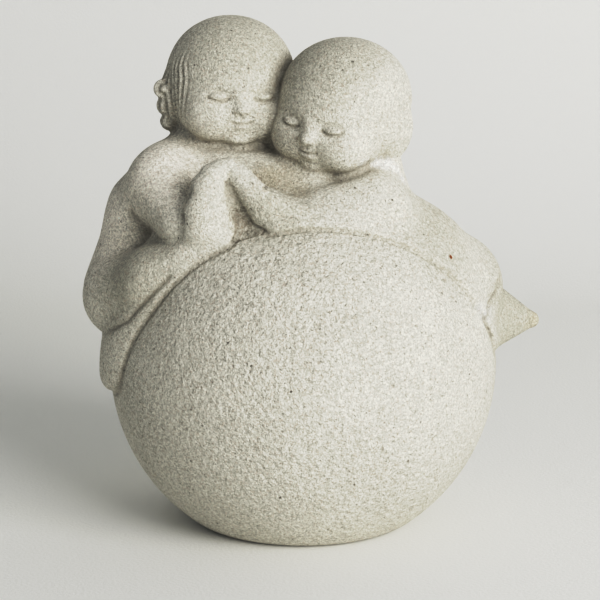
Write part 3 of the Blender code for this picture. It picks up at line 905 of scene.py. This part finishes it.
def cast_stone():
    """Pale cast stone: stains and painted light and shade under its grain, soil and painted shade over
    it, and dark grains over all.
    """
    material = bpy.data.materials.new("cast_stone")
    material.use_nodes = True
    tree = material.node_tree
    surface = tree.nodes["Principled BSDF"]
    point = node(tree, "ShaderNodeTexCoord").outputs["Object"]
    ball = node(tree, "ShaderNodeAttribute", attribute_name="ball").outputs["Fac"]
    folds = node(tree, "ShaderNodeAttribute", attribute_name="shelter").outputs["Fac"]
    cuts = node(tree, "ShaderNodeAttribute", attribute_name="cut").outputs["Fac"]
    grain = placed(tree, grain_effect(), Point=point)
    stipple = placed(tree, stipple_effect(), Point=point)
    pits = maths(tree, "MULTIPLY", stipple["Pits"], ball)

    specks = speck_effect()
    dark = 0.0
    for per_metre, share, size, strength in DARK_GRAINS:
        mask = placed(tree, specks, Point=point, Per_metre=per_metre, Share=share, Size=size)[0]
        dark = maths(tree, "MAXIMUM", dark, maths(tree, "MULTIPLY", mask, strength))

    stain = stain_and_painted_light_effect()
    colour = STONE
    # Stains, and patches of painted light and shade, mixed in one by one
    for place, reach, tint, strength, per_metre in STAINS_AND_PAINTED_LIGHT:
        middle = Vector(place) * BALL_RADIUS + CENTRE
        mask = placed(tree, stain, Point=point, Middle=middle, Reach=reach, Per_metre=per_metre)[0]
        colour = mixed(tree, maths(tree, "MULTIPLY", mask, strength), colour, tint)
    tone = node(tree, "ShaderNodeVectorMath", operation="SCALE")
    feed(tree, tone, in0=colour, Scale=grain["Tone"])
    colour = mixed(tree, grain["Warmth"], tone.outputs[0], WARM_GRAIN)

    # Painted shade with some soil, darkest in the most sheltered folds and in the cut lines
    cloud = spread(tree, noise(tree, point, *SOIL_AND_SHADE_CLOUD), *MIDDLE, *SOIL_AND_SHADE_CLOUDS)
    soil_and_shade = maths(tree, "MULTIPLY", spread(tree, folds, *SOIL_AND_SHADE_BY_SHELTER), cloud, clamp=True)
    colour = mixed(tree, soil_and_shade, colour, SOIL_AND_SHADE)
    colour = mixed(tree, maths(tree, "MULTIPLY", cuts, SOIL_AND_SHADE_IN_CUTS), colour, SOIL_AND_SHADE)
    # Painted shade in the ball's pits
    colour = mixed(tree, maths(tree, "MULTIPLY", pits, SHADE_IN_PITS), colour, SOIL_AND_SHADE)
    colour = mixed(tree, maths(tree, "MULTIPLY", dark, DARK_COVER), colour, DARK_GRAIN_AND_PIT_SHADE)

    on_ball = maths(tree, "MULTIPLY", stipple["Height"], ball)
    height = maths(tree, "ADD", grain["Height"], on_ball)
    height = maths(tree, "SUBTRACT", height, maths(tree, "MULTIPLY", dark, DARK_DEPTH))
    bump = node(tree, "ShaderNodeBump")
    feed(tree, bump, Strength=1.0, Distance=MILLIMETRE, Height=height)
    feed(tree, surface, Base_Color=colour, Normal=bump.outputs["Normal"], Roughness=STONE_ROUGHNESS)
    surface.inputs["Specular IOR Level"].default_value = STONE_GLOSS
    return material


# The table and its sweep, in metres: where the flat ends behind, the bend, the wall, and how far
# the table reaches to the front and the sides
FLAT_END = 0.30
BEND = 0.18
BEND_POINTS = 24
WALL = 1.2
TABLE_REACH = 12.0
TABLE_COLOUR = (0.86, 0.86, 0.83, 1.0)
TABLE_ROUGHNESS = 0.8
WEAVE_PER_METRE = 900.0
WEAVE_STRENGTH = 0.25
WEAVE_HEIGHT = 0.0005


def pale_table():
    """Matt and faintly woven. The sweep is clear from behind, so that the back can be looked at."""
    material = bpy.data.materials.new("pale_table")
    material.use_nodes = True
    tree = material.node_tree
    point = node(tree, "ShaderNodeTexCoord").outputs["Object"]
    bump = node(tree, "ShaderNodeBump")
    weave = noise(tree, point, WEAVE_PER_METRE)
    feed(tree, bump, Strength=WEAVE_STRENGTH, Distance=WEAVE_HEIGHT, Height=weave)
    matt = tree.nodes["Principled BSDF"]
    feed(tree, matt, Base_Color=TABLE_COLOUR, Roughness=TABLE_ROUGHNESS, Normal=bump.outputs["Normal"])
    clear = node(tree, "ShaderNodeBsdfTransparent").outputs[0]
    behind = node(tree, "ShaderNodeNewGeometry").outputs["Backfacing"]
    both = feed(tree, node(tree, "ShaderNodeMixShader"), in0=behind, in1=matt.outputs[0], in2=clear)
    tree.links.new(both.outputs[0], tree.nodes["Material Output"].inputs["Surface"])
    return material


def studio():
    """A pale table that sweeps up into a plain backdrop.

    Its profile is flat, then a quarter circle, then upright, and is carried from side to side.
    """
    angle = np.linspace(0, math.pi / 2, BEND_POINTS)
    y = np.concatenate([[-TABLE_REACH], FLAT_END + BEND * np.sin(angle), [FLAT_END + BEND]])
    z = np.concatenate([[0.0], BEND * (1 - np.cos(angle)), [WALL]])
    sides = np.array([-TABLE_REACH, TABLE_REACH])
    points = np.stack(np.broadcast_arrays(sides[:, None], y[None], z[None]), axis=2).reshape(-1, 3)
    first = np.arange(len(y) - 1)
    faces = np.stack([first, first + len(y), first + len(y) + 1, first + 1], axis=1)
    mesh = bpy.data.meshes.new("table_and_backdrop")
    mesh.from_pydata(points.tolist(), [], faces.tolist())
    mesh.shade_smooth()
    mesh.materials.append(pale_table())
    table = bpy.data.objects.new("table_and_backdrop", mesh)
    bpy.context.scene.collection.objects.link(table)
    return table


# The window's size in metres, its power, its colour, its direction and its distance; the pale
# room around; and the camera's tones, which hold back the lightest stone and lift the middle
WINDOW_SIZE = (0.8, 0.6)
WINDOW_WATTS = 13.5
WINDOW_COLOUR = (1.0, 0.985, 0.955)
WINDOW_TOWARDS = (0.62, -0.74, 0.38)
WINDOW_DISTANCE = 1.2
ROOM_COLOUR = (0.93, 0.96, 1.0, 1.0)
ROOM_STRENGTH = 0.215
CAMERA_TONES = [(0.114, 0.078), (0.19, 0.165), (0.376, 0.43), (0.515, 0.60), (0.716, 0.735)]
WHITEST = 0.87


def lit():
    """One large soft light from the right and front, and a pale room around."""
    key = bpy.data.lights.new("window", "AREA")
    key.shape = "RECTANGLE"
    key.size, key.size_y = WINDOW_SIZE
    key.energy = WINDOW_WATTS
    key.color = WINDOW_COLOUR
    lamp = bpy.data.objects.new("window", key)
    towards = Vector(WINDOW_TOWARDS).normalized()
    lamp.location = CENTRE + WINDOW_DISTANCE * towards
    lamp.rotation_euler = towards.to_track_quat("Z", "Y").to_euler()
    bpy.context.scene.collection.objects.link(lamp)
    world = bpy.data.worlds.new("room")
    world.use_nodes = True
    room = world.node_tree.nodes["Background"]
    room.inputs["Color"].default_value = ROOM_COLOUR
    room.inputs["Strength"].default_value = ROOM_STRENGTH
    bpy.context.scene.world = world
    view = bpy.context.scene.view_settings
    view.view_transform = "Standard"
    view.use_curve_mapping = True
    tones = view.curve_mapping.curves[3].points
    for dark, light in CAMERA_TONES:
        tones.new(dark, light)
    tones[0].location, tones[-1].location = (0.0, 0.0), (1.0, WHITEST)
    view.curve_mapping.update()


# The photograph's view, in shares of the ball's radius: the place aimed at and the distance
CAMERA_AIM = (-0.0156, 0.0650, 0.3057)
CAMERA_DISTANCE = 10.0
CAMERA_LENS = 115.2
CAMERA_SENSOR = 36


def camera():
    """The camera, above the horizon by the sight's angle."""
    made = bpy.data.objects.new("camera", bpy.data.cameras.new("camera"))
    made.data.lens = CAMERA_LENS
    made.data.sensor_width = CAMERA_SENSOR
    aim = Vector(CAMERA_AIM) * BALL_RADIUS + CENTRE
    made.location = aim + SIGHT * CAMERA_DISTANCE * BALL_RADIUS
    made.rotation_euler = SIGHT.to_track_quat("Z", "Y").to_euler()
    bpy.context.scene.collection.objects.link(made)
    bpy.context.scene.camera = made


piece = carved_skin()
piece.data.materials.append(cast_stone())
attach(piece, "root")
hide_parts(NODE)
studio()
lit()
camera()
